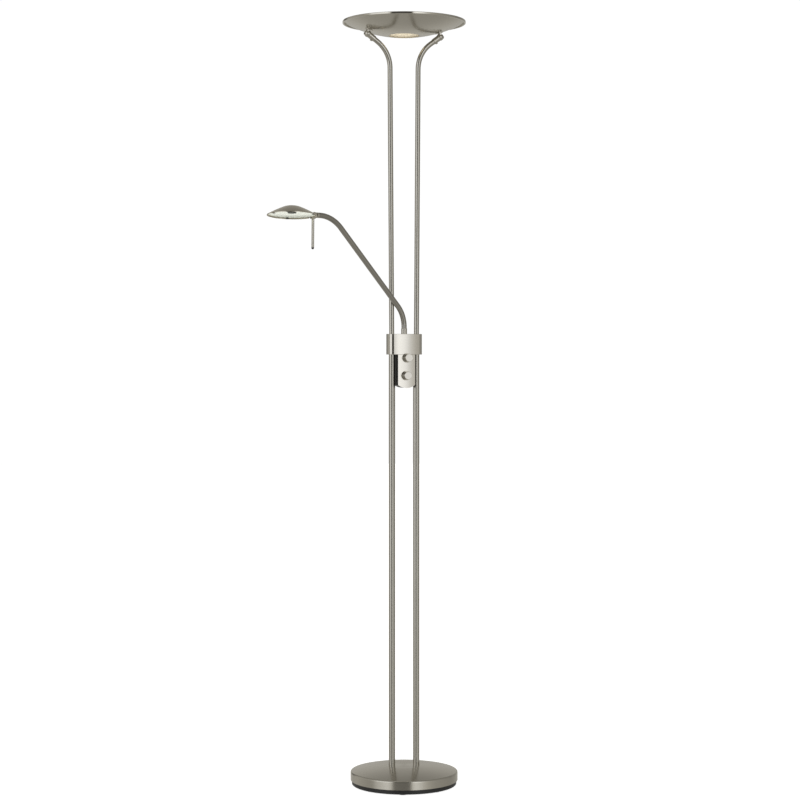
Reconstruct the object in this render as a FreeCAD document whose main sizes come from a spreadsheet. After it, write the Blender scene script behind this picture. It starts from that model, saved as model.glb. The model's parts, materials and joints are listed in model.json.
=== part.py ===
import FreeCAD, Part
import math
import os
import Sketcher
from FreeCAD import Vector, Placement, Rotation

# Torchiere floor lamp with a reading light.
# Millimetres, +Z up, origin on the floor under the middle of the round base.
# The two poles stand at -X and +X, the dimmer knobs face -Y.

doc = FreeCAD.newDocument("torchiere")
sheet = doc.addObject("Spreadsheet::Sheet", "dims")

# ---------------------------------------------------------------- sizes
SIZES = [
    ("base_radius", 126.3), ("cover_bottom", 13.2), ("cover_shoulder", 34.6),
    ("cover_plateau", 47.0), ("plateau_radius", 42.0), ("cover_gauge", 1.2),
    ("weight_radius", 120.8), ("weight_bottom", 17.0), ("weight_top", 32.8),
    ("tray_radius", 123.2), ("tray_bottom", 2.6), ("tray_top", 15.2),
    ("foot_radius", 11.0), ("foot_circle", 104.0),
    ("stud_radius", 5.0), ("stud_bore", 3.0),
    ("pole_offset", 30.0), ("lower_pole_radius", 7.5), ("upper_pole_radius", 6.0),
    ("tube_gauge", 1.2), ("lower_pole_top", 1037.0), ("upper_pole_foot", 1041.0),
    ("pole_lean", 0.375), ("pole_splay", 53.6), ("pole_bend", 75.0),
    ("ball_offset", 89.4), ("ball_height", 1766.2), ("ball_radius", 8.5),
    ("sleeve_radius", 7.0), ("sleeve_reach", 20.0), ("tongue_width", 5.0),
    ("bracket_bottom", 1015.0), ("bracket_top", 1063.5),
    ("bracket_half_width", 42.5), ("bracket_half_depth", 20.5),
    ("bracket_front_arc", 185.0), ("bracket_front_turn", 9.5), ("bracket_end_arc", 36.0),
    ("box_half_width", 21.0), ("box_bottom", 936.5), ("box_round", 34.0),
    ("face_gauge", 1.5), ("box_back", 14.0),
    ("knob_radius", 11.0), ("knob_front_radius", 9.2), ("knob_length", 17.5),
    ("knob_upper_height", 1007.3), ("knob_lower_height", 965.7),
    ("knob_upper_shift", 0.4), ("knob_lower_shift", -2.0), ("shaft_radius", 3.0),
    ("arm_radius", 6.25), ("arm_gauge", 1.0), ("arm_heading", 24.5),
    ("arm_foot", 1036.0), ("arm_low_corner", 1108.6), ("arm_level", 1331.0),
    ("arm_low_bend", 70.0), ("arm_high_bend", 90.0), ("arm_end", 264.0),
    ("joint_reach", 279.5), ("head_roll", 3.5), ("head_tilt", 3.7),
    ("shade_radius", 56.5), ("shade_height", 22.8), ("shade_offset", 61.5),
    ("shade_drop", 8.0), ("rod_radius", 3.15), ("rod_end", 74.0),
    ("dish_sphere", 310.0), ("dish_centre", 2073.2), ("dish_edge", 141.8),
    ("hem_inner", 140.8), ("hem_outer", 145.0), ("dish_opening", 36.0),
    ("dish_gauge", 1.2), ("glass_radius", 39.5),
    ("lamp_height", 1783.0),
]
NUM = {}
for row, (word, number) in enumerate(SIZES, start=1):
    sheet.set("A%d" % row, word)
    sheet.set("B%d" % row, "%g" % number)
    sheet.setAlias("B%d" % row, word)
    NUM[word] = float(number)
doc.recompute()


class Q:
    """A size from the sheet: its number, and the text that binds to it."""

    def __init__(self, number, text):
        self.n, self.t = float(number), text

    @staticmethod
    def of(other):
        if isinstance(other, Q):
            return other
        return Q(other, "(%.9g)" % other)

    def __add__(self, o):
        o = Q.of(o)
        return Q(self.n + o.n, "(%s + %s)" % (self.t, o.t))

    def __radd__(self, o):
        return Q.of(o) + self

    def __sub__(self, o):
        o = Q.of(o)
        return Q(self.n - o.n, "(%s - %s)" % (self.t, o.t))

    def __rsub__(self, o):
        return Q.of(o) - self

    def __mul__(self, o):
        o = Q.of(o)
        return Q(self.n * o.n, "(%s * %s)" % (self.t, o.t))

    def __rmul__(self, o):
        return Q.of(o) * self

    def __truediv__(self, o):
        o = Q.of(o)
        return Q(self.n / o.n, "(%s / %s)" % (self.t, o.t))

    def __neg__(self):
        return Q(-self.n, "(0 - %s)" % self.t)

    def __float__(self):
        return self.n


def d(word):
    return Q(NUM[word], "dims." + word)


def qsin(a):
    a = Q.of(a)
    return Q(math.sin(math.radians(a.n)), "sin(%s)" % a.t)


def qcos(a):
    a = Q.of(a)
    return Q(math.cos(math.radians(a.n)), "cos(%s)" % a.t)


def qtan(a):
    a = Q.of(a)
    return Q(math.tan(math.radians(a.n)), "tan(%s)" % a.t)


def qroot(a):
    a = Q.of(a)
    return Q(math.sqrt(a.n), "sqrt(%s)" % a.t)


def bind(obj, prop, value):
    if isinstance(value, Q):
        setattr(obj, prop, value.n)
        obj.setExpression(prop, value.t)
    else:
        setattr(obj, prop, value)


def place(obj, at=(0, 0, 0), rot=None):
    obj.Placement = Placement(Vector(*[float(c) for c in at]), rot or Rotation())
    for axis, c in zip("xyz", at):
        if isinstance(c, Q):
            obj.setExpression("Placement.Base." + axis, c.t)
    return obj


def along(direction):
    return Rotation(Vector(0, 0, 1), Vector(*direction))


X_AXIS = along((1, 0, 0))
Y_AXIS = along((0, 1, 0))


def cyl(r, h, at=(0, 0, 0), rot=None):
    o = doc.addObject("Part::Cylinder", "cyl")
    bind(o, "Radius", r)
    bind(o, "Height", h)
    return place(o, at, rot)


def cone(r1, r2, h, at=(0, 0, 0), rot=None):
    o = doc.addObject("Part::Cone", "cone")
    bind(o, "Radius1", r1)
    bind(o, "Radius2", r2)
    bind(o, "Height", h)
    return place(o, at, rot)


def ball(r, at=(0, 0, 0)):
    o = doc.addObject("Part::Sphere", "ball")
    bind(o, "Radius", r)
    return place(o, at)


def box(x0, x1, y0, y1, z0, z1, rot=None):
    o = doc.addObject("Part::Box", "box")
    for prop, a, b in (("Length", x0, x1), ("Width", y0, y1), ("Height", z0, z1)):
        size = Q.of(b) - Q.of(a)
        if isinstance(a, Q) or isinstance(b, Q):
            bind(o, prop, size)
        else:
            bind(o, prop, float(size))
    return place(o, (x0, y0, z0), rot)


def hexagon(across, h, at=(0, 0, 0), rot=None):
    o = doc.addObject("Part::Prism", "hexagon")
    o.Polygon = 6
    bind(o, "Circumradius", across / math.sqrt(3.0))
    bind(o, "Height", h)
    return place(o, at, rot)


def fuse(*objs):
    o = doc.addObject("Part::MultiFuse", "fuse")
    o.Shapes = list(objs)
    return o


def cut(base, *tools):
    o = doc.addObject("Part::Cut", "cut")
    o.Base = base
    o.Tool = tools[0] if len(tools) == 1 else fuse(*tools)
    return o


def common(*objs):
    o = doc.addObject("Part::MultiCommon", "common")
    o.Shapes = list(objs)
    return o


def group(*objs):
    o = doc.addObject("Part::Compound", "set")
    o.Links = list(objs)
    return o


NODES = {}


def node(name, obj, placement=None):
    obj.Label = name
    if placement is not None:
        obj.Placement = placement
    NODES[name] = obj
    return obj


def plane_of(body, role):
    for f in body.Origin.OriginFeatures:
        if f.Role == role:
            return f


def lock(sk, geo, pos, x, y):
    for kind, value, axis in (("DistanceX", x, -2), ("DistanceY", y, -1)):
        number = float(value)
        if abs(number) < 1e-9:
            sk.addConstraint(Sketcher.Constraint("PointOnObject", geo, pos, axis))
        else:
            i = sk.addConstraint(Sketcher.Constraint(kind, geo, pos, number))
            if isinstance(value, Q):
                sk.setExpression("Constraints[%d]" % i, value.t)


def arc_through(a, m, b):
    """The arc from a through m to b, and which of its ends is which."""
    k = 2.0 * (a.x * (m.y - b.y) + m.x * (b.y - a.y) + b.x * (a.y - m.y))
    qa, qm, qb = (v.x * v.x + v.y * v.y for v in (a, m, b))
    c = Vector((qa * (m.y - b.y) + qm * (b.y - a.y) + qb * (a.y - m.y)) / k,
               (qa * (b.x - m.x) + qm * (a.x - b.x) + qb * (m.x - a.x)) / k, 0)
    ta, tm, tb = (math.atan2(v.y - c.y, v.x - c.x) for v in (a, m, b))
    ccw = ((tm - ta) % (2 * math.pi)) < ((tb - ta) % (2 * math.pi))
    lo, hi = (ta, tb) if ccw else (tb, ta)
    circle = Part.Circle(c, Vector(0, 0, 1), (a - c).Length)
    return Part.ArcOfCircle(circle, lo, hi), ((1, 2) if ccw else (2, 1))


def outline(body, name, role, points, offset=None):
    """A closed sketch. Each point is (x, y), or (x, y, (mx, my)) when the way
    to the next point is an arc through (mx, my)."""
    sk = body.newObject("Sketcher::SketchObject", name)
    sk.AttachmentSupport = [(plane_of(body, role), "")]
    sk.MapMode = "FlatFace"
    if offset is not None:
        sk.AttachmentOffset = Placement(Vector(0, 0, float(offset)), Rotation())
        if isinstance(offset, Q):
            sk.setExpression("AttachmentOffset.Base.z", offset.t)
    n = len(points)
    ends = []
    for i, p in enumerate(points):
        q = points[(i + 1) % n]
        a = Vector(float(p[0]), float(p[1]), 0)
        b = Vector(float(q[0]), float(q[1]), 0)
        if len(p) > 2:
            g, way = arc_through(a, Vector(float(p[2][0]), float(p[2][1]), 0), b)
            ends.append(way)
            sk.addGeometry(g, False)
        else:
            sk.addGeometry(Part.LineSegment(a, b), False)
            ends.append((1, 2))
    for i in range(n):
        j = (i + 1) % n
        sk.addConstraint(Sketcher.Constraint("Coincident", i, ends[i][1], j, ends[j][0]))
    for i, p in enumerate(points):
        lock(sk, i, ends[i][0], p[0], p[1])
    for i, p in enumerate(points):
        if len(p) > 2:
            r = sk.Geometry[i].Radius
            sk.addConstraint(Sketcher.Constraint("Radius", i, r))
    return sk


def spun(name, points):
    """A body turned round Z from an outline in the XZ plane."""
    body = doc.addObject("PartDesign::Body", name + "_body")
    sk = outline(body, name + "_outline", "XZ_Plane", points)
    rev = body.newObject("PartDesign::Revolution", name + "_turn")
    rev.Profile = sk
    rev.ReferenceAxis = (sk, ["V_Axis"])
    rev.Angle = 360.0
    body.Tip = rev
    return body


def tube_body(name, start, points, r_out, r_in):
    """A round tube whose centre line is a chain in the XZ plane. start is the
    height of its flat lower end; points are (x, z) or (x, z, (mx, mz))."""
    body = doc.addObject("PartDesign::Body", name + "_body")
    path = body.newObject("Sketcher::SketchObject", name + "_path")
    path.AttachmentSupport = [(plane_of(body, "XZ_Plane"), "")]
    path.MapMode = "FlatFace"
    ends = []
    for i in range(len(points) - 1):
        p, q = points[i], points[i + 1]
        a = Vector(float(p[0]), float(p[1]), 0)
        b = Vector(float(q[0]), float(q[1]), 0)
        if len(p) > 2:
            g, way = arc_through(a, Vector(float(p[2][0]), float(p[2][1]), 0), b)
            path.addGeometry(g, False)
            ends.append(way)
        else:
            path.addGeometry(Part.LineSegment(a, b), False)
            ends.append((1, 2))
    for i in range(len(ends) - 1):
        path.addConstraint(Sketcher.Constraint("Coincident", i, ends[i][1], i + 1, ends[i + 1][0]))
    for i in range(len(ends)):
        lock(path, i, ends[i][0], points[i][0], points[i][1])
    last = len(ends) - 1
    lock(path, last, ends[last][1], points[-1][0], points[-1][1])
    for i in range(len(ends)):
        if len(points[i]) > 2:
            path.addConstraint(Sketcher.Constraint("Radius", i, path.Geometry[i].Radius))
    ring = body.newObject("Sketcher::SketchObject", name + "_ring")
    ring.AttachmentSupport = [(plane_of(body, "XY_Plane"), "")]
    ring.MapMode = "FlatFace"
    ring.AttachmentOffset = Placement(Vector(0, 0, float(start)), Rotation())
    if isinstance(start, Q):
        ring.setExpression("AttachmentOffset.Base.z", start.t)
    for r in (r_out, r_in):
        if r is None:
            continue
        g = ring.addGeometry(Part.Circle(Vector(float(points[0][0]), 0, 0), Vector(0, 0, 1), float(r)), False)
        ci = ring.addConstraint(Sketcher.Constraint("Radius", g, float(r)))
        if isinstance(r, Q):
            ring.setExpression("Constraints[%d]" % ci, r.t)
        lock(ring, g, 3, points[0][0], 0)
    doc.recompute()
    pipe = body.newObject("PartDesign::AdditivePipe", name + "_sweep")
    pipe.Profile = ring
    pipe.Spine = (path, ["Edge%d" % (i + 1) for i in range(len(ends))])
    body.Tip = pipe
    return body


def wire_feature(points, radii, r):
    """A round wire along straight runs joined by tangent arcs."""
    pts = [Vector(*[float(c) for c in p]) for p in points]
    edges, here = [], pts[0]
    for i in range(1, len(pts) - 1):
        a, b, c = pts[i - 1], pts[i], pts[i + 1]
        u = (a - b).normalize()
        w = (c - b).normalize()
        half = u.getAngle(w) / 2.0
        reach = radii[i - 1] / math.tan(half)
        p, q = b + u * reach, b + w * reach
        bis = (u + w).normalize()
        centre = b + bis * (radii[i - 1] / math.sin(half))
        m = centre - bis * radii[i - 1]
        edges.append(Part.LineSegment(here, p).toShape())
        edges.append(Part.Arc(p, m, q).toShape())
        here = q
    edges.append(Part.LineSegment(here, pts[-1]).toShape())
    path = Part.Wire(edges)
    start = (pts[1] - pts[0]).normalize()
    ring = Part.Wire([Part.Circle(pts[0], start, float(r)).toShape()])
    solid = path.makePipeShell([ring], True, False)
    o = doc.addObject("Part::Feature", "wire")
    o.Shape = solid
    return o, path.Length


TURN = Placement(Vector(0, 0, 0), Rotation(Vector(0, 0, 1), 180))
HERE = Placement()

# ---------------------------------------------------------------- base
R, g = d("base_radius"), d("cover_gauge")
shoulder, top, flat = d("cover_shoulder"), d("cover_plateau"), d("plateau_radius")
low = d("cover_bottom")
cover = spun("cover", [
    (0, top), (flat, top, (82.0, 42.6)), (R - 4.0, shoulder, (R - 1.17, shoulder - 1.17)),
    (R, shoulder - 4.0), (R, low), (R - g, low),
    (R - g, shoulder - 4.0, (R - g - 0.85, shoulder - 2.1)),
    (R - 4.0, shoulder - g, (82.0, 41.4)), (flat, top - g), (0, top - g)])
holes = [cyl(5.2, 20.0, (s * d("pole_offset"), 0, 35.0)) for s in (-1, 1)]
node("base_cover", cut(cover, *holes))

wr, wb, wt = d("weight_radius"), d("weight_bottom"), d("weight_top")
weight = spun("weight", [(0, top - g), (40.0, top - g), (46.0, wt), (wr - 1.5, wt), (wr, wt - 1.5),
                         (wr, wb + 1.5), (wr - 1.5, wb), (0, wb)])
tools = []
for s in (-1, 1):
    tools.append(cyl(5.2, 40.0, (s * d("pole_offset"), 0, 10.0)))
    tools.append(cyl(13.0, 9.0, (s * d("pole_offset"), 0, wb - 2.0)))
SCREW_AT = [(75.0 * math.cos(math.radians(a)), 75.0 * math.sin(math.radians(a))) for a in (30, 150, 270)]
for x, y in SCREW_AT:
    tools.append(cyl(2.0, 14.0, (x, y, wb - 1.0)))
node("base_weight", cut(weight, *tools))

tr, tb, tt = d("tray_radius"), d("tray_bottom"), d("tray_top")
tray = spun("tray", [(0, tb), (tr - 1.6, tb), (tr, tb + 1.6), (tr, tt), (tr - 2.4, tt),
                     (tr - 2.4, tb + 4.2), (tr - 4.0, tb + 2.6), (0, tb + 2.6)])
posts = [cyl(5.0, wb - tb - 0.5, (x, y, tb + 0.5)) for x, y in SCREW_AT]
drills = [cyl(2.2, 16.0, (x, y, 4.0)) for x, y in SCREW_AT]
sinks = [cone(4.2, 2.2, 2.2, (x, y, tb)) for x, y in SCREW_AT]
inlet = fuse(cyl(3.2, 20.0, (0, 107.0, tb + 7.6), Y_AXIS), cyl(4.5, 6.0, (0, 121.6, tb + 7.6), Y_AXIS),
             cyl(4.2, 1.6, (0, 110.4, tb + 7.6), Y_AXIS))
rim_pad = common(box(-6.5, 6.5, 112.0, 121.0, tb + 0.4, tt),
                 cyl(tr - 1.6, 12.0, (0, 0, tb)))
node("base_tray", cut(fuse(tray, rim_pad, *posts), inlet, *(drills + sinks)))

FIRST_FOOT = -109.5
feet = []
for k in range(8):
    a = FIRST_FOOT + 45.0 * k
    f = doc.addObject("Part::Cylinder", "foot")
    bind(f, "Radius", d("foot_radius"))
    bind(f, "Height", tb - 1.0)
    place(f, (d("foot_circle") * math.cos(math.radians(a)), d("foot_circle") * math.sin(math.radians(a)), 1.0))
    b = cone(d("foot_radius") - 1.0, d("foot_radius"), 1.0,
             (d("foot_circle") * math.cos(math.radians(a)), d("foot_circle") * math.sin(math.radians(a)), 0))
    feet.append(fuse(f, b))
node("base_feet", group(*feet))

screws = []
for x, y in SCREW_AT:
    screws.append(fuse(cone(4.0, 2.0, 2.0, (x, y, tb + 0.1)), cyl(2.0, 23.0, (x, y, tb + 1.0))))
node("tray_screws", group(*screws))

grommet = cut(fuse(cyl(3.2, 11.0, (0, 111.0, tb + 7.6), Y_AXIS),
                   cyl(4.5, 1.8, (0, 121.6, tb + 7.6), Y_AXIS),
                   cyl(4.2, 1.4, (0, 110.6, tb + 7.6), Y_AXIS)),
              cyl(2.4, 20.0, (0, 107.0, tb + 7.6), Y_AXIS))
node("cord_grommet", grommet)

sr, sb = d("stud_radius"), d("stud_bore")
ri = d("lower_pole_radius") - d("tube_gauge")
studs, nuts = [], []
for s in (-1, 1):
    px = s * d("pole_offset")
    studs.append(cut(fuse(cyl(ri, 30.0, (px, 0, top + 0.5)), cyl(sr, top - 14.0, (px, 0, 15.0))),
                     cyl(sb, 70.0, (px, 0, 10.0))))
    nuts.append(cut(fuse(hexagon(17.0, 6.0, (px, 0, wb - 0.8)), cyl(11.0, 1.8, (px, 0, wb + 5.2))),
                    cyl(sr, 12.0, (px, 0, wb - 3.0))))
node("pole_studs", group(*studs))
node("pole_nuts", group(*nuts))

# ---------------------------------------------------------------- poles
for name, s in (("lower_pole_left", -1), ("lower_pole_right", 1)):
    node(name, cut(cyl(d("lower_pole_radius"), d("lower_pole_top") - top, (s * d("pole_offset"), 0, top)),
                   cyl(ri, d("lower_pole_top"), (s * d("pole_offset"), 0, top - 5.0))))

lean, splay, bend = d("pole_lean"), d("pole_splay"), d("pole_bend")
bx, bz = d("ball_offset"), d("ball_height")
foot_x = d("pole_offset") + 0.6
across = bend * (qcos(lean) - qcos(splay))
rise = bend * (qsin(splay) - qsin(lean))
# straight run between the bend and the ball centre, from the two ends of the pole
run = (bx - foot_x - across - (bz - d("bracket_top") - rise) * qtan(lean)) / (qsin(splay) - qcos(splay) * qtan(lean))
arc_x = bx - across - run * qsin(splay)
arc_z = bz - rise - run * qcos(splay)
arc_end = (arc_x + across, arc_z + rise)
mid_a = (lean.n + splay.n) / 2.0
arc_mid = (arc_x.n + bend.n * (math.cos(math.radians(lean.n)) - math.cos(math.radians(mid_a))),
           arc_z.n + bend.n * (math.sin(math.radians(mid_a)) - math.sin(math.radians(lean.n))))
start_z = d("upper_pole_foot")
start_x = foot_x - (d("bracket_top") - start_z) * qtan(lean)
TUBE_IN = 9.6                     # the tube stops this far from the ball centre
tube_end = (bx - TUBE_IN * qsin(splay), bz - TUBE_IN * qcos(splay))


def pole_path(z0, x0, end):
    return [(x0, z0), (arc_x, arc_z, arc_mid), arc_end, end]


for name, pl in (("upper_pole_left", TURN), ("upper_pole_right", HERE)):
    node(name, tube_body(name, start_z, pole_path(start_z, start_x, tube_end),
                         d("upper_pole_radius"), d("upper_pole_radius") - d("tube_gauge")), pl)

# knuckle at the top of each upper pole: a slotted ball with a sleeve
ux, uz = -math.sin(math.radians(splay.n)), -math.cos(math.radians(splay.n))


def on_sleeve(t):
    return (bx + t * ux, 0, bz + t * uz)


sleeve_dir = along((ux, 0, uz))
for name, pl in (("knuckle_left", TURN), ("knuckle_right", HERE)):
    solid = fuse(ball(d("ball_radius"), (bx, 0, bz)),
                 cyl(d("sleeve_radius"), d("sleeve_reach") - 2.0, on_sleeve(2.0), sleeve_dir))
    slot = d("tongue_width") / 2.0 + 0.3
    tools = [box(bx - slot, bx + slot, -12.0, 12.0, bz - 2.2, bz + 12.0),
             cyl(7.4, slot * 2.0, (bx - slot, 0, bz), X_AXIS),
             cyl(d("upper_pole_radius"), 14.0, on_sleeve(TUBE_IN), sleeve_dir),
             cyl(2.1, 8.0, on_sleeve(5.0), sleeve_dir),
             cyl(2.06, 24.0, (bx, 0, bz), X_AXIS),
             cyl(2.0, 12.0, (bx - 8.0, 0, bz), X_AXIS),
             cyl(3.9, 5.0, (bx + 6.8, 0, bz), X_AXIS),
             cyl(1.6, 4.0, (bx + 15.2 * ux - 5.0 * uz, 0, bz + 15.2 * uz + 5.0 * ux), along((-uz, 0, ux)))]
    node(name, cut(solid, *tools), pl)

set_screws = []
nx, nz = -uz, ux                  # points down and outwards from the sleeve
for k, pl in enumerate((TURN, HERE)):
    p = (bx.n + 15.2 * ux + 6.05 * nx, 0, bz.n + 15.2 * uz + 6.05 * nz)
    q = (bx.n + 15.2 * ux + 7.3 * nx, 0, bz.n + 15.2 * uz + 7.3 * nz)
    one = fuse(cyl(1.6, 2.2, p, along((nx, 0, nz))), cyl(2.5, 1.4, q, along((nx, 0, nz))))
    one.Placement = pl
    set_screws.append(one)
node("knuckle_set_screws", group(*set_screws))

bolts = []
for pl in (TURN, HERE):
    b = fuse(cyl(2.0, 17.2, (bx - 8.0, 0, bz), X_AXIS), cone(3.6, 2.6, 2.4, (bx + 6.8, 0, bz), X_AXIS))
    b.Placement = pl
    bolts.append(b)
node("tilt_bolts", group(*bolts))

# ---------------------------------------------------------------- bracket and dimmer box
ba, bb = d("bracket_half_width"), d("bracket_half_depth")
b0, b1 = d("bracket_bottom"), d("bracket_top")


def bracket_arcs(inset):
    """The bracket's outline: a gently bowed front, tight corners and rounded ends,
    all arcs tangent. Gives the start of each arc and a point on its way."""
    a, b = ba.n - inset, bb.n - inset
    R1, R3 = NUM["bracket_front_arc"] - inset, NUM["bracket_end_arc"] - inset
    f1 = math.radians(NUM["bracket_front_turn"])

    def miss(R2):
        x, y = (R1 - R2) * math.sin(f1), R1 - b - (R1 - R2) * math.cos(f1)
        return (R3 - R2) ** 2 - y ** 2 - (x - a + R3) ** 2

    lo, hi = 3.0, 20.0
    for _ in range(80):
        m = (lo + hi) / 2.0
        lo, hi = (lo, m) if miss(lo) * miss(m) <= 0 else (m, hi)
    R2 = (lo + hi) / 2.0
    cx, cy = (R1 - R2) * math.sin(f1), R1 - b - (R1 - R2) * math.cos(f1)
    f2 = math.atan2(cx - a + R3, -cy)

    def on(c, r, f):
        return (c[0] + r * math.sin(f), c[1] - r * math.cos(f))

    front, corner, end = (0.0, R1 - b), (cx, cy), (a - R3, 0.0)
    p1, p2 = on(front, R1, f1), on(end, R3, f2)
    mc, me = on(corner, R2, (f1 + f2) / 2.0), (a, 0.0)
    flip = [(1, -1), (-1, -1), (-1, 1)]
    return [(-p1[0], p1[1], (0.0, -b)), (p1[0], p1[1], mc), (p2[0], p2[1], me),
            (p2[0], -p2[1], (mc[0], -mc[1])), (p1[0], -p1[1], (0.0, b)),
            (-p1[0], -p1[1], (-mc[0], -mc[1])), (-p2[0], -p2[1], (-me[0], 0.0)), (-p2[0], p2[1], (-mc[0], mc[1]))]


def oval(inset, z0, z1):
    body = doc.addObject("PartDesign::Body", "oval_body")
    sk = outline(body, "oval_outline", "XY_Plane", bracket_arcs(inset), Q.of(z0))
    pad = body.newObject("PartDesign::Pad", "oval_pad")
    pad.Profile = sk
    bind(pad, "Length", Q.of(z1) - Q.of(z0))
    body.Tip = pad
    return body


def softened(base, heights, r):
    doc.recompute()
    f = doc.addObject("Part::Fillet", "softened")
    f.Base = base
    picks = []
    for i, e in enumerate(base.Shape.Edges, start=1):
        bbx = e.BoundBox
        if bbx.ZLength < 1e-6 and any(abs(bbx.ZMin - float(zz)) < 1e-6 for zz in heights):
            picks.append((i, r, r))
    f.Edges = picks
    return f


band = softened(oval(0.0, b0, b1), (b0, b1), 0.7)
tools = []
for s in (-1, 1):
    tools.append(cyl(d("lower_pole_radius") + 0.03, d("lower_pole_top") + 0.5 - b0 + 5.0,
                     (s * d("pole_offset"), 0, b0 - 5.0)))
    tilt_dir = along((s * math.sin(math.radians(lean.n)), 0, math.cos(math.radians(lean.n))))
    tools.append(cyl(d("upper_pole_radius") + 0.03, 40.0,
                     (s * start_x, 0, start_z - 0.3), tilt_dir))
    tools.append(cyl(4.0, 6.0, (s * d("pole_offset"), 0, d("lower_pole_top") - 1.0)))
    tools.append(cyl(2.05, 30.0, (s * d("pole_offset"), 3.0, 1024.0), Y_AXIS))
    tools.append(cyl(2.05, 30.0, (s * (d("pole_offset") + 0.55), 3.0, 1054.0), Y_AXIS))
    tools.append(cyl(1.5, 12.0, (s * 15.6, 0, b0 - 1.0)))
tools.append(cyl(2.0, 60.0, (-30.0, 0, 1039.0), X_AXIS))
tools.append(box(-13.5, 13.5, -12.0, 12.0, b0 - 3.0, 1045.0))
tools.append(cyl(8.0, 30.0, (0, 0, 1040.0)))
node("bracket_body", cut(band, *tools))

grub = []
for s in (-1, 1):
    grub.append(cyl(2.05, 6.0, (s * d("pole_offset"), d("lower_pole_radius") + 0.05, 1024.0), Y_AXIS))
    grub.append(cyl(2.05, 6.5, (s * (d("pole_offset") + 0.55), d("upper_pole_radius") + 0.1, 1054.0), Y_AXIS))
node("bracket_set_screws", group(*grub))

node("arm_bush", cut(cyl(8.0, b1 - 1045.0, (0, 0, 1045.0)),
                     cyl(d("arm_radius") + 0.06, 30.0, (0, 0, 1040.0))))

hw, hb, hr = d("box_half_width"), d("box_bottom"), d("box_round")


def box_outline(inset, y0, y1, z_top, lift=0.0):
    w = hw - inset
    upper = box(-w, w, y0, y1, hb + hr, z_top)
    disc = cyl(hr - lift, Q.of(y1) - Q.of(y0), (0, y0, hb + hr), Y_AXIS)
    lower = common(disc, box(-w, w, y0, y1, hb, hb + hr + 1.0))
    return fuse(upper, lower)


fg = d("face_gauge")
ring_shell = cut(oval(0.0, hb - 1.0, b0), oval(fg.n, hb - 2.0, b0 + 1.0))
bores = [(d("knob_upper_shift"), d("knob_upper_height")), (d("knob_lower_shift"), d("knob_lower_height"))]
node("box_face", cut(common(ring_shell, box_outline(0.0, -25.0, -5.0, b0)),
                     *[cyl(3.5, 20.0, (x, -30.0, z), Y_AXIS) for x, z in bores]))

shell_out = common(oval(fg.n, hb - 1.0, b0), box_outline(0.25, -25.0, d("box_back"), b0, 0.25))
hollow = box_outline(2.2, -15.0, d("box_back") + 5.0, 1013.0, 2.2)
POST_AT = [(-14.5, 1005.0), (14.5, 948.0)]
lid_posts = [cyl(3.25, d("box_back") + 15.5, (x, -15.5, z), Y_AXIS) for x, z in POST_AT]
tools = [cyl(3.5, 12.0, (x, -25.0, z), Y_AXIS) for x, z in bores]
tools += [cyl(1.25, 12.0, (x, d("box_back") - 11.0, z), Y_AXIS) for x, z in POST_AT]
tools += [cyl(5.0, 6.0, (0, 5.0, 1011.0))]
tools += [cyl(1.6, 6.0, (s * 15.6, 0, 1011.0)) for s in (-1, 1)]
node("box_housing", cut(fuse(cut(shell_out, hollow), *lid_posts), *tools))

node("box_lid", cut(box_outline(0.25, d("box_back"), d("box_back") + 2.0, b0, 0.25),
                    *[cyl(1.6, 6.0, (x, d("box_back") - 2.0, z), Y_AXIS) for x, z in POST_AT]))

bs = []
for x, z in POST_AT:
    bs.append(fuse(cyl(1.25, 11.0, (x, d("box_back") - 9.0, z), Y_AXIS),
                   cyl(2.8, 1.6, (x, d("box_back") + 2.0, z), Y_AXIS)))
for s in (-1, 1):
    bs.append(fuse(cyl(1.5, 12.0, (s * 15.6, 0, 1013.0)), cyl(2.7, 1.6, (s * 15.6, 0, 1011.4))))
node("box_screws", group(*bs))

node("dimmer_board", fuse(box(-16.0, 16.0, 4.0, 5.6, 953.5, 1000.0),
                          box(-11.0, 3.0, 5.0, 12.5, 970.0, 986.0),
                          cyl(4.5, 6.0, (9.5, 5.0, 990.0), Y_AXIS),
                          box(4.0, 14.0, 5.0, 10.0, 958.0, 980.0)))
node("terminal_block", cut(box(-12.0, 9.0, -5.0, 4.0, 978.0, 988.0),
                           *[cyl(1.8, 7.0, (x, -6.0, 983.0), Y_AXIS) for x in (-8.5, -1.5, 5.5)]))

for name, (x, z) in (("pot_upper", bores[0]), ("pot_lower", bores[1])):
    solid = fuse(box(x - 4.7, x + 4.7, -15.0, -6.0, z - 4.7, z + 4.7),
                 cyl(3.5, 9.5, (x, -24.0, z), Y_AXIS),
                 box(x - 3.0, x + 3.0, -7.0, 4.0, z - 12.0, z - 3.0))
    node(name, cut(solid, cyl(d("shaft_radius") + 0.06, 16.5, (x, -25.0, z), Y_AXIS)))
node("pot_nuts", group(*[cut(hexagon(10.0, 2.0, (x, -22.5, z), Y_AXIS),
                             cyl(3.5, 6.0, (x, -25.0, z), Y_AXIS)) for x, z in bores]))

kr, kf, kl = d("knob_radius"), d("knob_front_radius"), d("knob_length")
for name, (x, z) in (("knob_upper", bores[0]), ("knob_lower", bores[1])):
    back = -21.6
    front = Q.of(back) - kl
    solid = fuse(cone(kf, kr, kl - 1.2, (x, front + 0.6, z), Y_AXIS),
                 cone(kf - 0.6, kf, 0.6, (x, front, z), Y_AXIS),
                 cone(kr, kr - 0.6, 0.6, (x, back - 0.6, z), Y_AXIS))
    node(name, fuse(cut(solid, cyl(7.2, 3.6, (x, -24.6, z), Y_AXIS)),
                    cyl(d("shaft_radius"), 17.0, (x, -26.0, z), Y_AXIS)))

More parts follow.
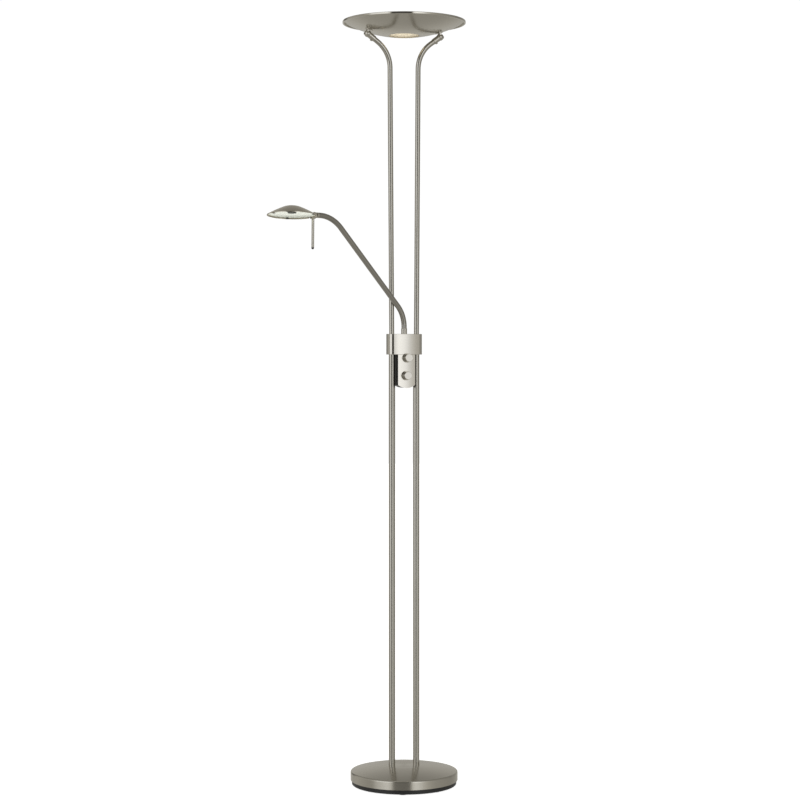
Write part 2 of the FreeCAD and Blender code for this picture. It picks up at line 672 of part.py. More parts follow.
# supply wire: from the inlet under the weight, up the left pole
supply, supply_len = wire_feature(
    [(0, 116.0, 10.2), (0, 48.0, 10.2), (-30.0, 0.0, 10.2), (-30.0, 0.0, 1036.0)], [24.0, 5.0], 1.6)
node("supply_wire", supply)
node("uplighter_wire", tube_body("up_wire", start_z + 1.0, pole_path(start_z + 1.0, start_x + 1.0 * qtan(lean), (
    bx - 9.7 * qsin(splay), bz - 9.7 * qcos(splay))), 1.6, None))

# ---------------------------------------------------------------- uplighter
S, sc = d("dish_sphere"), d("dish_centre")
Si = S - d("dish_gauge")


def sphere_z(r, radius):
    r = Q.of(r)
    return sc - qroot(radius * radius - r * r)


op, de = d("dish_opening"), d("dish_edge")
dish = doc.addObject("PartDesign::Body", "dish_body")
dish_sk = outline(dish, "dish_outline", "XZ_Plane", [
    (op, sphere_z(op, S), (95.0, sphere_z(95.0, S).n)), (de, sphere_z(de, S)),
    (de, sphere_z(de, Si), (95.0, sphere_z(95.0, Si).n)), (op, sphere_z(op, Si))])
dish_turn = dish.newObject("PartDesign::Revolution", "dish_turn")
dish_turn.Profile = dish_sk
dish_turn.ReferenceAxis = (dish_sk, ["V_Axis"])
dish_turn.Angle = 360.0
dish.Tip = dish_turn
ha, hb, h0, h1, hc = d("hem_inner"), d("hem_outer"), 1793.6, 1799.05, 1.2
hm = hc * (1.0 - math.sqrt(0.5))
bead = spun("hem", [
    (ha, h0 + hc, (ha + hm, h0 + hm)), (ha + hc, h0), (hb - hc, h0, (hb - hm, h0 + hm)), (hb, h0 + hc),
    (hb, h1 - hc, (hb - hm, h1 - hm)), (hb - hc, h1), (ha + hc, h1, (ha + hm, h1 - hm)), (ha, h1 - hc)])

# direction from each ball towards the centre of the dish's sphere
reach = math.hypot(bx.n, sc.n - bz.n)
ox, oz = -bx.n / reach, (sc.n - bz.n) / reach


def out(t, y=0.0, side=1):
    return (side * (bx.n + t * ox), y, bz.n + t * oz)


tools = []
for s in (-1, 1):
    for y in (-6.2, 6.2):
        tools.append(cyl(1.5, 8.0, out(9.0, y, s), along((s * ox, 0, oz))))
    tools.append(cyl(1.6, 6.0, (s * 50.0, 0, 1764.0)))
node("uplighter_bowl", cut(fuse(dish, bead), *tools))

gap = reach - S.n                 # from the ball centre to the dish's skin
tw = d("tongue_width") / 2.0
for name, pl in (("bowl_flange_left", TURN), ("bowl_flange_right", HERE)):
    disc = cyl(9.75, 3.0, out(9.0), along((ox, 0, oz)))
    tongue = fuse(cyl(7.0, tw * 2.0, (bx - tw, 0, bz), X_AXIS),
                  box(bx - tw, bx + tw, -5.0, 5.0, bz, bz + 10.9))
    raw = fuse(disc, tongue)
    node(name, cut(raw, ball(S, (0, 0, sc)), cyl(2.06, 12.0, (bx - 6.0, 0, bz), X_AXIS),
                   *[cyl(1.5, 6.0, out(9.0, y), along((ox, 0, oz))) for y in (-6.2, 6.2)]), pl)

fs = []
for s in (-1, 1):
    for y in (-6.2, 6.2):
        fs.append(fuse(cyl(1.5, 5.0, out(9.1, y, s), along((s * ox, 0, oz))),
                       cyl(2.8, 1.6, out(gap + d("dish_gauge").n + 0.16, y, s), along((s * ox, 0, oz)))))
node("flange_screws", group(*fs))

gr = d("glass_radius")
seat = sphere_z(gr, Si) + 0.05
node("bottom_glass", cut(cyl(gr, 3.0, (0, 0, seat)), cyl(30.0, 1.0, (0, 0, seat + 2.5))))
node("glass_ring", cut(fuse(cyl(43.0, 1.0, (0, 0, seat + 3.0)),
                            cut(cyl(41.4, 3.2, (0, 0, seat + 0.4)), cyl(gr + 0.2, 5.0, (0, 0, seat - 1.0)))),
                       cyl(34.0, 6.0, (0, 0, seat + 1.0))))

cz = 1775.0
node("lamp_carrier", cut(box(-66.0, 66.0, -31.5, 31.5, cz, cz + 1.2), box(-25.0, 25.0, -22.0, 22.0, cz - 1.0, cz + 3.0),
                         *[cyl(1.6, 5.0, (s * 50.0, 0, cz - 2.0)) for s in (-1, 1)]))
node("carrier_spacers", group(*[fuse(cyl(4.0, cz - 1769.4, (s * 50.0, 0, 1769.4)),
                                     cyl(1.6, 7.2, (s * 50.0, 0, 1769.4)),
                                     cyl(1.6, 3.0, (s * 50.0, 0, 1767.7)),
                                     cyl(2.9, 1.4, (s * 50.0, 0, cz + 1.2))) for s in (-1, 1)]))
lz = d("lamp_height")
node("lamp_holders", group(*[cut(box(54.0 if s > 0 else -66.0, 66.0 if s > 0 else -54.0, -9.0, 9.0, cz + 1.2, lz + 7.0),
                                 cyl(3.5, 3.2, (54.0 if s > 0 else -57.2, 0, lz), X_AXIS)) for s in (-1, 1)]))
node("linear_lamp", fuse(cyl(5.0, 100.0, (-50.0, 0, lz), X_AXIS), cyl(3.5, 114.4, (-57.2, 0, lz), X_AXIS)))
node("safety_glass", box(-72.0, 72.0, -30.0, 30.0, lz + 7.0, lz + 10.0))
clips = []
for s in (-1, 1):
    x0, x1 = (57.0, 63.0) if s > 0 else (-63.0, -57.0)
    clips.append(fuse(box(x0, x1, -31.2, 31.2, lz + 10.0, lz + 10.8),
                      box(x0, x1, 30.2, 31.2, cz + 1.2, lz + 10.5),
                      box(x0, x1, -31.2, -30.2, cz + 1.2, lz + 10.5)))
node("glass_clips", group(*clips))

# ---------------------------------------------------------------- reading arm
ARM = Placement(Vector(0, 0, 0), Rotation(Vector(0, 0, 1), 180.0 + NUM["arm_heading"]))
lc, lv = d("arm_low_corner"), d("arm_level")
rl, rh = d("arm_low_bend"), d("arm_high_bend")
k = math.tan(math.radians(22.5))
c45 = math.sqrt(0.5)
corner_r = lv - lc                # the sloping run climbs at 45 degrees
p1 = (0, lc - rl * k)
p2 = (rl * k * c45, lc + rl * k * c45)
m1 = (rl.n * (1 - math.cos(math.radians(22.5))), lc.n - rl.n * k + rl.n * math.sin(math.radians(22.5)))
p3 = (corner_r - rh * k * c45, lv - rh * k * c45)
p4 = (corner_r + rh * k, lv)
m2 = (p4[0].n - rh.n * math.sin(math.radians(22.5)), lv.n - rh.n * (1 - math.cos(math.radians(22.5))))
af = d("arm_foot")


def arm_path(z0, end):
    return [(0, z0), (p1[0], p1[1], m1), p2, (p3[0], p3[1], m2), p4, (end, lv)]


ar, ai = d("arm_radius"), d("arm_radius") - d("arm_gauge")
node("arm_tube", tube_body("arm", af, arm_path(af, d("arm_end")), ar, ai), ARM)
node("arm_wire", tube_body("arm_cable", af + 1.0, arm_path(af + 1.0, d("arm_end") - 5.0), 2.0, None), ARM)
node("arm_ferrule", cut(fuse(cyl(7.0, 12.4, (0, 0, b1 + 0.15)), cone(7.0, 6.5, 0.8, (0, 0, b1 + 12.55))),
                        cyl(ar, 30.0, (0, 0, b1 - 5.0))), ARM)
node("arm_nut", cut(hexagon(17.0, 4.6, (0, 0, 1040.0)), cyl(ar, 12.0, (0, 0, 1036.0))), ARM)

je = d("joint_reach")
node("arm_spigot", cut(fuse(cyl(ai, 14.0, (d("arm_end") - 14.0, 0, lv), X_AXIS),
                            cyl(2.5, 7.0, (d("arm_end") - 1.0, 0, lv), X_AXIS)),
                       cyl(2.0, 10.0, (d("arm_end") - 15.0, 0, lv), X_AXIS)), ARM)

# swivel block, turned with the head about the arm's end
JOINT = Placement(Vector(NUM["joint_reach"], 0, NUM["arm_level"]), Rotation())
ROLL = ARM * JOINT * Placement(Vector(), Rotation(Vector(1, 0, 0), NUM["head_roll"]))
HEAD = ROLL * Placement(Vector(), Rotation(Vector(0, 1, 0), -NUM["head_tilt"]))

block = fuse(cyl(ar, 6.3, (-15.2, 0, 0), X_AXIS),
             box(-9.2, 0.5, -3.3, 3.3, -2.6, 2.6),
             cyl(5.4, 6.6, (0, -3.3, 0), Y_AXIS))
node("swivel_block", cut(block, cyl(2.56, 6.2, (-15.4, 0, 0), X_AXIS),
                         cyl(1.56, 12.0, (0, -6.0, 0), Y_AXIS)), ROLL)

# ---------------------------------------------------------------- reading head
so, sd = d("shade_offset"), d("shade_drop")
sr2, sh = d("shade_radius"), d("shade_height")


SHADE_AT = HEAD * Placement(Vector(NUM["shade_offset"], 0, -NUM["shade_drop"]), Rotation())


def head_spun(name, points):
    b = spun(name, points)
    place(b, (so, 0, -sd))
    return b


def crown(r, edge, fall):
    """How far a round crown, centred on the axis, has fallen at r when it falls this much at its edge."""
    big = (edge * edge + fall * fall) / (2.0 * fall)
    return big - math.sqrt(big * big - r * r)


outer_pts = [(sr2, 0), (sr2, 1.2, (37.8, 11.3)), (18.0, sh - 2.8, (9.2, sh.n - crown(9.2, 18.0, 2.8))), (0, sh)]
shade = head_spun("shade", outer_pts + [(0, sh - 1.0, (9.0, sh.n - 1.0 - crown(9.0, 17.7, 2.8))),
                                        (17.7, sh - 3.8, (37.3, 10.3)),
                                        (sr2 - 1.2, 0.9), (sr2 - 1.2, 0)])
notch = box(0.0, 9.6, -6.6, 6.6, -12.0, 3.5)
node("reading_shade", cut(shade, notch), HEAD)

filled = head_spun("shade_block", outer_pts + [(0, 0)])
keep_out = cut(filled, box(0.0, 9.4, -6.5, 6.5, -12.0, 3.5))
fork_raw = fuse(cyl(6.3, 12.4, (0, -6.2, 0), Y_AXIS),
                box(0.0, 8.0, -6.2, 6.2, -6.3, 4.2),
                box(-3.2, 3.2, -6.2, 6.2, -8.6, -4.0),
                box(7.0, 16.5, -6.2, 6.2, -4.0, 4.2))
fork_slot = fuse(cyl(6.0, 7.2, (0, -3.6, 0), Y_AXIS),
                 box(-10.0, 0.0, -3.6, 3.6, -6.0, 12.0),
                 box(-1.0, 5.9, -3.6, 3.6, 0.0, 12.0))
bevel = box(0.0, 30.0, -10.0, 10.0, 0.0, 12.0)
bevel.Placement = Placement(Vector(3.0, 0, 5.9), Rotation(Vector(0, 1, 0), 19.0)) * Placement(Vector(0, -10.0, 0), Rotation())
node("shade_fork", cut(fork_raw, fork_slot, keep_out, bevel, cyl(1.5, 20.0, (0, -10.0, 0), Y_AXIS),
                       cyl(2.0, 2.0, (0, 0, -8.6))), HEAD)
node("fork_pin", group(cyl(1.5, 13.0, (0, -6.5, 0), Y_AXIS)), HEAD)
node("reading_reflector", spun("reflector", [
    (50.4, 3.0, (35.0, 9.2)), (13.5, 17.4), (10.6, 17.4), (10.6, 16.9), (13.4, 16.9, (34.8, 8.7)),
    (50.0, 2.7), (50.4, 2.7)]), SHADE_AT)
node("reading_lampholder", cut(fuse(cyl(9.8, 11.8, (so, 0, 5.6 - sd)), cyl(4.0, 4.6, (so, 0, 17.0 - sd))),
                               cyl(3.2, 6.0, (so + 7.0, 0, 9.6 - sd), X_AXIS)), HEAD)
node("capsule_lamp", fuse(cyl(3.2, 15.6, (so + 7.0, 0, 9.6 - sd), X_AXIS), ball(3.2, (so + 22.6, 0, 9.6 - sd))), HEAD)
node("reading_glass", spun("mouth_glass", [
    (0, -1.4), (0, 2.2), (52.0, 2.2), (52.0, 0.7, (26.5, -0.9))]), SHADE_AT)
cl = []
for a in (0.0, 118.0, 242.0):
    one = fuse(box(52.15, 54.5, -3.0, 3.0, -0.5, 1.1), box(49.4, 54.5, -3.0, 3.0, -0.5, 0.2))
    one.Placement = Placement(Vector(NUM["shade_offset"], 0, -NUM["shade_drop"]), Rotation(Vector(0, 0, 1), a))
    cl.append(one)
node("reading_clips", group(*cl), HEAD)

rr, re = d("rod_radius"), d("rod_end")
node("handle_rod", cut(fuse(cyl(rr, re - 8.6, (0, 0, -re)), cyl(2.0, 2.0, (0, 0, -8.6))),
                       cyl(1.6, 3.0, (0, 0, -re - 0.5))), HEAD)
tip = fuse(cyl(rr, 1.2, (0, 0, -re - 1.2)), common(ball(rr, (0, 0, -re - 1.2)), box(-4, 4, -4, 4, -re - 5.0, -re - 1.2)),
           cyl(1.6, 3.0, (0, 0, -re - 0.6)))
node("handle_tip", tip, HEAD)

# ---------------------------------------------------------------- checks and files
doc.recompute()
bad = []
for o in doc.Objects:
    if any(s in ("Invalid", "Error") for s in o.State):
        bad.append((o.Name, o.Label, list(o.State)))
for name, o in NODES.items():
    sh_ = o.Shape
    if sh_.isNull() or not sh_.isValid() or not sh_.Solids:
        bad.append((name, "shape", sh_.isNull() or sh_.isValid()))
if bad:
    for b in bad:
        print("BAD", b)
    raise SystemExit("some pieces failed")
volume = math.pi * 1.6 ** 2 * supply_len
print("supply wire volume", round(supply.Shape.Volume), "section times length", round(volume))
os.makedirs("parts", exist_ok=True)
for name, o in NODES.items():
    o.Shape.exportStep("parts/%s.step" % name)
    bbx = o.Shape.BoundBox
    print("%-22s solids %d vol %9.0f  x %7.1f %7.1f  y %7.1f %7.1f  z %7.1f %7.1f" % (
        name, len(o.Shape.Solids), o.Shape.Volume, bbx.XMin, bbx.XMax, bbx.YMin, bbx.YMax, bbx.ZMin, bbx.ZMax))
print(len(NODES), "nodes")
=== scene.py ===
import json
import math
import bpy
import bmesh
from mathutils import Matrix, Vector

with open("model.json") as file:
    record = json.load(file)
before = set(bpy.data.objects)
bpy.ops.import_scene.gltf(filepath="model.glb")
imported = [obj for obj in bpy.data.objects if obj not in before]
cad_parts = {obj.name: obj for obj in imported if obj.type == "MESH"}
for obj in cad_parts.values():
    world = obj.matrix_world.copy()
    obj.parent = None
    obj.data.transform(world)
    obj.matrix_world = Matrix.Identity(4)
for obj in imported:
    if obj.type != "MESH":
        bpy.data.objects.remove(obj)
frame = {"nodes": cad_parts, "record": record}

scene = bpy.context.scene
NODES = frame["nodes"]
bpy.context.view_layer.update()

# ------------------------------------------------------------------ camera
# The lamp stands turned 18 degrees to the camera, which is a long lens at
# about chest height, nearly level.
TURNED = math.radians(18.0)
BACK = Vector((-math.sin(TURNED), -math.cos(TURNED), 0.0))     # from the lamp to the camera
RIGHT = Vector((math.cos(TURNED), -math.sin(TURNED), 0.0))     # the camera's right
cam_data = bpy.data.cameras.new("camera")
cam = bpy.data.objects.new("camera", cam_data)
scene.collection.objects.link(cam)
scene.camera = cam
cam_data.sensor_width = 36.0
cam_data.lens = 91.584
cam_data.shift_y = -0.04
cam_data.clip_start, cam_data.clip_end = 0.05, 200.0
yaw, pitch = math.radians(0.1155), math.radians(0.4320)
level = Matrix.Rotation(yaw, 3, "Z") @ (-BACK)
ahead = level * math.cos(pitch) + Vector((0, 0, -math.sin(pitch)))
cam.location = BACK * 4.7959 + Vector((0, 0, 1.0195))
cam.rotation_mode = "QUATERNION"
cam.rotation_quaternion = ahead.to_track_quat("-Z", "Y")

scene.view_settings.view_transform = "Standard"
scene.view_settings.look = "None"


# ------------------------------------------------------------------ node helpers
class Graph:
    """Short names for building a node tree."""

    def __init__(self, tree):
        self.tree = tree
        tree.nodes.clear()

    def add(self, kind, **props):
        n = self.tree.nodes.new(kind)
        for k, v in props.items():
            setattr(n, k, v)
        return n

    def link(self, a, b):
        self.tree.links.new(a, b)

    def put(self, socket, value):
        if hasattr(value, "is_output"):
            self.link(value, socket)
        else:
            socket.default_value = value

    def math(self, op, a, b=None, c=None, clamp=False):
        n = self.add("ShaderNodeMath", operation=op)
        n.use_clamp = clamp
        for i, v in enumerate((a, b, c)):
            if v is not None:
                self.put(n.inputs[i], v)
        return n.outputs[0]

    def vec(self, op, a, b=None, out=0):
        n = self.add("ShaderNodeVectorMath", operation=op)
        self.put(n.inputs[0], a)
        if b is not None:
            self.put(n.inputs["Scale" if op == "SCALE" else 1], b)
        return n.outputs[out]

    def xyz(self, v):
        n = self.add("ShaderNodeSeparateXYZ")
        self.link(v, n.inputs[0])
        return n.outputs

    def join(self, x, y, z):
        n = self.add("ShaderNodeCombineXYZ")
        for i, v in enumerate((x, y, z)):
            self.put(n.inputs[i], v)
        return n.outputs[0]

    def span(self, v, a, b, c, d, smooth=True):
        n = self.add("ShaderNodeMapRange")
        n.interpolation_type = "SMOOTHSTEP" if smooth else "LINEAR"
        for i, x in zip((0, 1, 2, 3, 4), (v, a, b, c, d)):
            self.put(n.inputs[i], x)
        return n.outputs[0]

    def ramp(self, v, stops, interp="EASE"):
        n = self.add("ShaderNodeValToRGB")
        n.color_ramp.interpolation = interp
        el = n.color_ramp.elements
        while len(el) > 1:
            el.remove(el[0])
        for i, (at, val) in enumerate(stops):
            e = el[0] if i == 0 else el.new(at)
            e.position = at
            e.color = (val, val, val, 1) if not hasattr(val, "__len__") else (*val, 1)
        self.link(v, n.inputs[0])
        return n.outputs[0]

    def mix(self, f, a, b, kind="MIX"):
        n = self.add("ShaderNodeMix", data_type="RGBA", blend_type=kind)
        n.clamp_factor = True
        self.put(n.inputs[0], f)
        self.put(n.inputs[6], a)
        self.put(n.inputs[7], b)
        return n.outputs[2]

    def noise(self, v, scale, detail=2.0, rough=0.5, out="Fac"):
        n = self.add("ShaderNodeTexNoise")
        self.link(v, n.inputs["Vector"])
        n.inputs["Scale"].default_value = scale
        n.inputs["Detail"].default_value = detail
        n.inputs["Roughness"].default_value = rough
        return n.outputs[out]


# ------------------------------------------------------------------ studio light
# Soft boxes left and right of the camera, a dark gap between them where the
# camera stands, and a pale studio all round.
world = bpy.data.worlds.new("studio")
scene.world = world
world.use_nodes = True
g = Graph(world.node_tree)
ray = g.add("ShaderNodeTexCoord").outputs["Generated"]
ray = g.vec("NORMALIZE", ray)
to_right = g.vec("DOT_PRODUCT", ray, tuple(RIGHT), out=1)
to_back = g.vec("DOT_PRODUCT", ray, tuple(BACK), out=1)
turn = g.math("DIVIDE", g.math("ARCTAN2", to_right, to_back), math.pi)          # -1 .. 1
turn01 = g.math("MULTIPLY_ADD", turn, 0.5, 0.5)
lift = g.math("DIVIDE", g.math("ARCSINE", g.xyz(ray)[2]), math.pi)              # -0.5 .. 0.5
lift01 = g.math("ADD", lift, 0.5)


def A(deg):
    return (deg + 180.0) / 360.0


def E(deg):
    return (deg + 90.0) / 180.0


# brightness round the horizon at four heights: level and above, a little below,
# far below, and overhead
level_ring = g.ramp(turn01, [(A(-180), .48), (A(-158), .50), (A(-150), .17), (A(-138), .17), (A(-128), .48), (A(-105), .48),
                             (A(-85), .43), (A(-70), .60), (A(-62), 1.08), (A(-34), 1.28), (A(-27), 1.0), (A(-23), .09),
                             (A(14), .07), (A(18), 1.15), (A(24), 1.42), (A(34), 1.22), (A(42), .84), (A(52), .54),
                             (A(66), .42), (A(90), .36), (A(120), .27), (A(150), .36), (A(180), .48)], "LINEAR")
low_ring = g.ramp(turn01, [(A(-180), .55), (A(-120), .48), (A(-90), .40), (A(-73), .32), (A(-59), .46), (A(-37), .70),
                           (A(-27), .60), (A(-22), .27), (A(12), .25), (A(18), .62), (A(26), .70), (A(44), .58),
                           (A(59), .47), (A(74), .40), (A(120), .36), (A(150), .42), (A(180), .55)], "LINEAR")
under_ring = g.ramp(turn01, [(A(-180), .40), (A(-90), .44), (A(-20), .40), (A(20), .38), (A(90), .33), (A(180), .40)], "LINEAR")
over_ring = g.ramp(turn01, [(A(-180), .27), (A(-90), .34), (A(-30), .40), (A(0), .34), (A(30), .40), (A(90), .26), (A(180), .27)],
                   "LINEAR")


def blend(f, a, b):
    return g.math("ADD", g.math("MULTIPLY", a, g.math("SUBTRACT", 1.0, f)), g.math("MULTIPLY", b, f))


f_low = g.span(lift, -14.0 / 180, -3.0 / 180, 0.0, 1.0)
f_under = g.span(lift, -48.0 / 180, -20.0 / 180, 0.0, 1.0)
f_over = g.span(lift, 16.0 / 180, 46.0 / 180, 0.0, 1.0)
light = blend(f_low, low_ring, level_ring)
light = blend(f_under, under_ring, light)
light = blend(f_over, light, over_ring)
warm = g.mix(g.span(light, .45, 1.1, 0.0, 1.0), (1.0, .975, .905, 1), (.985, 1.0, 1.02, 1))
bg = g.add("ShaderNodeBackground")
g.link(g.vec("SCALE", warm, light), bg.inputs[0])
bg.inputs[1].default_value = 1.0
g.link(bg.outputs[0], g.add("ShaderNodeOutputWorld").inputs[0])
world.cycles.sampling_method = "MANUAL"
world.cycles.sample_map_resolution = 1024


# ------------------------------------------------------------------ floor and backdrop
def lit(name, colour, strength):
    m = bpy.data.materials.new(name)
    m.use_nodes = True
    h = Graph(m.node_tree)
    e = h.add("ShaderNodeEmission")
    e.inputs[0].default_value = (*colour, 1)
    e.inputs[1].default_value = strength
    h.link(e.outputs[0], h.add("ShaderNodeOutputMaterial").inputs[0])
    return m


def disc_mesh(name, radius, z, n=96):
    me = bpy.data.meshes.new(name)
    bm = bmesh.new()
    bmesh.ops.create_circle(bm, cap_ends=True, segments=n, radius=radius)
    for v in bm.verts:
        v.co.z = z
    bm.to_mesh(me)
    bm.free()
    o = bpy.data.objects.new(name, me)
    scene.collection.objects.link(o)
    return o


floor = disc_mesh("floor", 14.0, 0.0)
fm = bpy.data.materials.new("pale_floor")
fm.use_nodes = True
h = Graph(fm.node_tree)
fd = h.add("ShaderNodeBsdfDiffuse")
fd.inputs[0].default_value = (0.82, 0.82, 0.82, 1)
fe = h.add("ShaderNodeEmission")
fe.inputs[0].default_value = (1, 1, 1, 1)
fe.inputs[1].default_value = 0.90
fa = h.add("ShaderNodeAddShader")
h.link(fd.outputs[0], fa.inputs[0])
h.link(fe.outputs[0], fa.inputs[1])
h.link(fa.outputs[0], h.add("ShaderNodeOutputMaterial").inputs[0])
floor.data.materials.append(fm)
floor.visible_glossy = False

drop = bpy.data.meshes.new("backdrop")
bm = bmesh.new()
bmesh.ops.create_uvsphere(bm, u_segments=64, v_segments=32, radius=13.9)
bmesh.ops.reverse_faces(bm, faces=bm.faces[:])
bm.to_mesh(drop)
bm.free()
backdrop = bpy.data.objects.new("backdrop", drop)
scene.collection.objects.link(backdrop)
drop.materials.append(lit("white_paper", (1, 1, 1), 1.02))
backdrop.visible_glossy = False
backdrop.visible_diffuse = False
backdrop.visible_shadow = False
backdrop.visible_volume_scatter = False


# ------------------------------------------------------------------ materials
def principled(name):
    m = bpy.data.materials.new(name)
    m.use_nodes = True
    q = Graph(m.node_tree)
    p = q.add("ShaderNodeBsdfPrincipled")
    q.link(p.outputs[0], q.add("ShaderNodeOutputMaterial").inputs[0])
    return m, q, p


def place_vector(q):
    return q.add("ShaderNodeTexCoord").outputs["Object"]


def turned_vector(q, centre=(0, 0, 0)):
    """Distance from an upright axis, turn about it and height, for marks left by turning."""
    v = q.vec("SUBTRACT", place_vector(q), centre)
    x, y, z = q.xyz(v)
    r = q.math("SQRT", q.math("ADD", q.math("MULTIPLY", x, x), q.math("MULTIPLY", y, y)))
    a = q.math("ARCTAN2", y, x)
    return r, a, z


def nickel(name, marks="turned", rough=0.24, centre=(0, 0, 0), base=(0.600, 0.572, 0.512), aniso=0.0, bump=0.0, hem=None):
    """Satin nickel: a soft tone, long fine brush marks and a grain of its own."""
    m, q, p = principled(name)
    if marks == "turned":
        r, a, z = turned_vector(q, centre)
        fine = q.join(q.math("MULTIPLY", r, 3000.0), q.math("MULTIPLY", a, 1.6), q.math("MULTIPLY", z, 3000.0))
        broad = q.join(q.math("MULTIPLY", r, 260.0), q.math("MULTIPLY", a, 0.9), q.math("MULTIPLY", z, 260.0))
    elif marks == "level":
        x, y, z = q.xyz(place_vector(q))
        fine = q.join(q.math("MULTIPLY", x, 30.0), q.math("MULTIPLY", y, 30.0), q.math("MULTIPLY", z, 3000.0))
        broad = q.join(q.math("MULTIPLY", x, 7.0), q.math("MULTIPLY", y, 7.0), q.math("MULTIPLY", z, 330.0))
    elif marks == "long":
        x, y, z = q.xyz(place_vector(q))
        fine = q.join(q.math("MULTIPLY", x, 900.0), q.math("MULTIPLY", y, 900.0), q.math("MULTIPLY", z, 3.0))
        broad = q.join(q.math("MULTIPLY", x, 220.0), q.math("MULTIPLY", y, 220.0), q.math("MULTIPLY", z, 1.5))
    else:
        v = place_vector(q)
        fine = q.vec("SCALE", v, 900.0)
        broad = q.vec("SCALE", v, 90.0)
    f = q.noise(fine, 1.0, 2.0, 0.6)
    b = q.noise(broad, 1.0, 3.0, 0.55)
    patch = q.noise(place_vector(q), 17.0, 2.0, 0.5)
    tone = q.math("ADD", q.math("MULTIPLY", f, 0.015), q.math("ADD", q.math("MULTIPLY", b, 0.05),
                  q.math("MULTIPLY", patch, 0.05)))
    tone = q.math("ADD", tone, 0.942)
    col = q.vec("SCALE", q.join(*base), tone)
    q.link(col, p.inputs["Base Color"])
    p.inputs["Metallic"].default_value = 1.0
    r_out = q.math("ADD", q.math("MULTIPLY", b, 0.05), q.math("ADD", q.math("MULTIPLY", f, 0.015), rough - 0.033))
    if hem:
        r_out = q.math("MULTIPLY", r_out, q.span(r, hem - 0.001, hem, 1.0, 0.45))
    q.link(r_out, p.inputs["Roughness"])
    if bump:
        n = q.add("ShaderNodeBump")
        n.inputs["Strength"].default_value = bump
        n.inputs["Distance"].default_value = 0.00005
        q.link(b, n.inputs["Height"])
        q.link(n.outputs[0], p.inputs["Normal"])
    if aniso:
        p.inputs["Anisotropic"].default_value = aniso
        p.inputs["Anisotropic Rotation"].default_value = 0.25
        t = q.add("ShaderNodeTangent", direction_type="RADIAL", axis="Z")
        q.link(t.outputs[0], p.inputs["Tangent"])
    return m


def plain(name, colour, rough=0.5, metallic=0.0, grain=900.0, bump=0.15, distance=0.0001, vary=0.12, spec=0.5):
    m, q, p = principled(name)
    v = place_vector(q)
    f = q.noise(q.vec("SCALE", v, grain), 1.0, 3.0, 0.6)
    b = q.noise(v, 38.0, 2.0, 0.5)
    tone = q.math("ADD", q.math("MULTIPLY", f, vary), q.math("ADD", q.math("MULTIPLY", b, vary), 1.0 - vary))
    q.link(q.vec("SCALE", q.join(*colour), tone), p.inputs["Base Color"])
    p.inputs["Metallic"].default_value = metallic
    p.inputs["Specular IOR Level"].default_value = spec
    q.link(q.math("ADD", q.math("MULTIPLY", f, 0.1), rough - 0.05), p.inputs["Roughness"])
    if bump:
        n = q.add("ShaderNodeBump")
        n.inputs["Strength"].default_value = bump
        n.inputs["Distance"].default_value = distance
        q.link(f, n.inputs["Height"])
        q.link(n.outputs[0], p.inputs["Normal"])
    return m


def glowing_lining(name):
    """Bright, slightly uneven metal lining with a painted glow: an emission that rises with height inside the dish."""
    m, q, p = principled(name)
    v = place_vector(q)
    b = q.noise(v, 55.0, 2.0, 0.5)
    tone = q.math("ADD", q.math("MULTIPLY", b, 0.06), 0.94)
    q.link(q.vec("SCALE", q.join(0.56, 0.56, 0.535), tone), p.inputs["Base Color"])
    p.inputs["Metallic"].default_value = 0.35
    q.link(q.math("ADD", q.math("MULTIPLY", b, 0.08), 0.34), p.inputs["Roughness"])
    # painted glow: the lining emits light of its own, from nothing at its lower edge to 0.34 partway up the dish
    p.inputs["Emission Color"].default_value = (1.0, 0.995, 0.97, 1)
    z = q.xyz(v)[2]
    q.link(q.span(z, 1.3262, 1.3330, 0.0, 0.34), p.inputs["Emission Strength"])
    return m


def glass(name, colour, rough, ior=1.5, transmission=1.0, glow=None, strength=0.0, spread=0.04):
    m, q, p = principled(name)
    v = place_vector(q)
    f = q.noise(v, 1400.0, 2.0, 0.6)
    b = q.noise(v, 60.0, 2.0, 0.5)
    tone = q.math("ADD", q.math("MULTIPLY", b, 0.06), 0.97)
    q.link(q.vec("SCALE", q.join(*colour), tone), p.inputs["Base Color"])
    p.inputs["IOR"].default_value = ior
    p.inputs["Transmission Weight"].default_value = transmission
    if spread:
        q.link(q.math("ADD", q.math("MULTIPLY", f, spread), rough), p.inputs["Roughness"])
    else:
        p.inputs["Roughness"].default_value = rough
    if glow:
        p.inputs["Emission Color"].default_value = (*glow, 1)
        p.inputs["Emission Strength"].default_value = strength
    return m


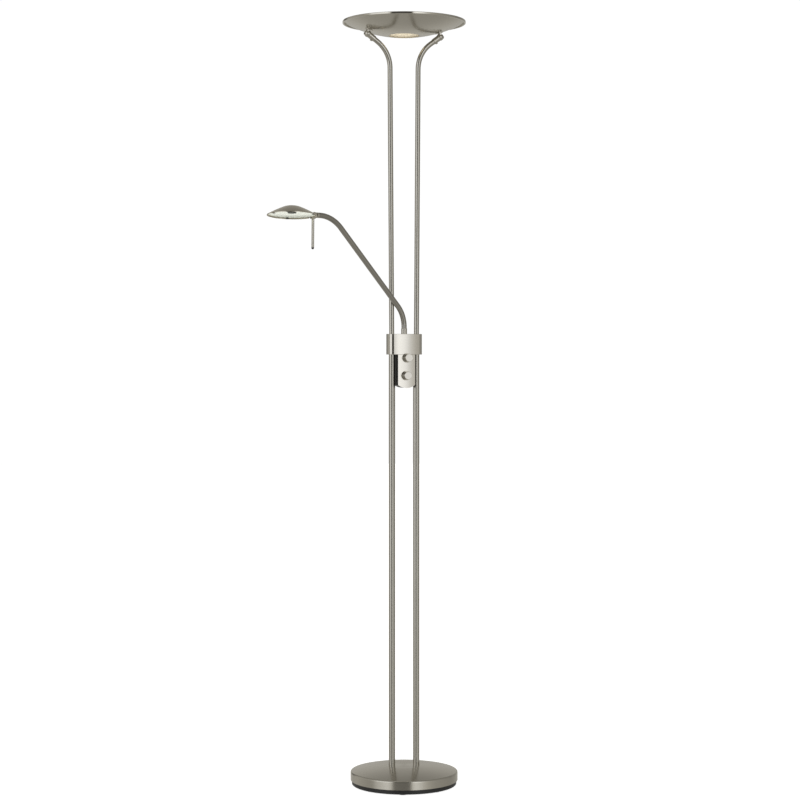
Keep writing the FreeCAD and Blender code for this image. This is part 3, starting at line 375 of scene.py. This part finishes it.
MAT = {
    "base": nickel("satin_nickel_base", "turned", 0.21, base=(0.575, 0.550, 0.490), aniso=0.70),
    "turned": nickel("satin_nickel_turned", "turned", 0.20, base=(0.585, 0.560, 0.497), aniso=0.35, hem=0.1405),
    "level": nickel("satin_nickel_level", "level", 0.15, base=(0.660, 0.632, 0.575)),
    "cloudy": nickel("satin_nickel_fine", "cloudy", 0.22),
    "knob": nickel("satin_nickel_knob", "cloudy", 0.20, base=(0.640, 0.612, 0.556)),
    # painted shade: the arm gets a much darker copy of the same satin nickel
    "arm": nickel("satin_nickel_arm", "cloudy", 0.13, base=(0.405, 0.389, 0.352)),
    "shade": nickel("satin_nickel_shade", "cloudy", 0.24, base=(0.600, 0.556, 0.468)),
    # painted shade: the poles get a darker copy of the same satin nickel
    "pole": nickel("satin_nickel_pole", "long", 0.17, base=(0.520, 0.498, 0.446)),
    "plastic": plain("black_moulding", (0.012, 0.012, 0.013), 0.42, grain=300.0, bump=0.04),
    "rubber": plain("black_rubber", (0.014, 0.013, 0.013), 0.72, grain=700.0, bump=0.3),
    "iron": plain("cast_iron", (0.07, 0.068, 0.065), 0.75, 0.6, 300.0, 0.6, 0.0004),
    "zinc": plain("zinc_plate", (0.55, 0.55, 0.57), 0.32, 1.0, 1400.0),
    "brass": plain("brass", (0.72, 0.53, 0.24), 0.28, 1.0, 1400.0),
    "board": plain("circuit_board", (0.02, 0.09, 0.035), 0.45),
    "pale": plain("pale_moulding", (0.62, 0.60, 0.55), 0.45),
    "sleeve": plain("wire_sleeve", (0.03, 0.03, 0.03), 0.5),
    "ceramic": plain("white_ceramic", (0.80, 0.79, 0.76), 0.55, grain=500.0),
    "bright": plain("bright_aluminium", (0.86, 0.86, 0.86), 0.16, 1.0, 400.0, 0.0),
    "inside": glowing_lining("lining_with_painted_glow"),
    "holder": plain("dark_holder", (0.018, 0.015, 0.012), 0.5),
    "tip": plain("dark_tip", (0.06, 0.055, 0.05), 0.45),
    # painted glow: the frosted glass emits a faint warm light of its own, though no lamp is lit
    "frost": glass("frosted_glass", (0.82, 0.75, 0.60), 0.55, glow=(1.0, 0.88, 0.66), strength=0.10),
    "clear": glass("clear_glass", (0.97, 0.99, 0.98), 0.02),
    "green": glass("mouth_glass", (0.925, 0.940, 0.900), 0.0, ior=1.001, spread=0.0),
    "clip": plain("dark_spring_clip", (0.05, 0.047, 0.042), 0.4, 0.8, grain=300.0, bump=0.0),
    "quartz": glass("quartz_glass", (0.98, 0.98, 0.98), 0.03),
}
SLOT_LOOK = {
    "satin_nickel": "cloudy", "nickel_knob": "knob", "cast_weight": "iron", "black_plastic": "plastic",
    "black_rubber": "rubber", "zinc_steel": "zinc", "brass": "brass", "circuit_board": "board",
    "pale_plastic": "pale", "wire_sleeve": "sleeve", "frosted_glass": "frost", "clear_glass": "clear",
    "green_glass": "green", "lamp_glass": "quartz", "ceramic_white": "ceramic",
    "bright_aluminium": "bright", "holder_dark": "holder", "tip_dark": "tip",
}
NODE_LOOK = {
    "base_cover": "base", "uplighter_bowl": "turned", "bracket_body": "level", "box_face": "level",
    "lower_pole_left": "pole", "lower_pole_right": "pole", "upper_pole_left": "pole", "upper_pole_right": "pole",
    "arm_tube": "arm", "reading_shade": "shade", "reading_reflector": "inside", "reading_clips": "clip",
}


def dress(obj, look):
    obj.data.materials.clear()
    obj.data.materials.append(MAT[look])


slot_of = {s["node"]: s["material_slot"] for s in frame["record"]["subparts"]}
for name, obj in NODES.items():
    dress(obj, NODE_LOOK.get(name) or SLOT_LOOK[slot_of[name]])
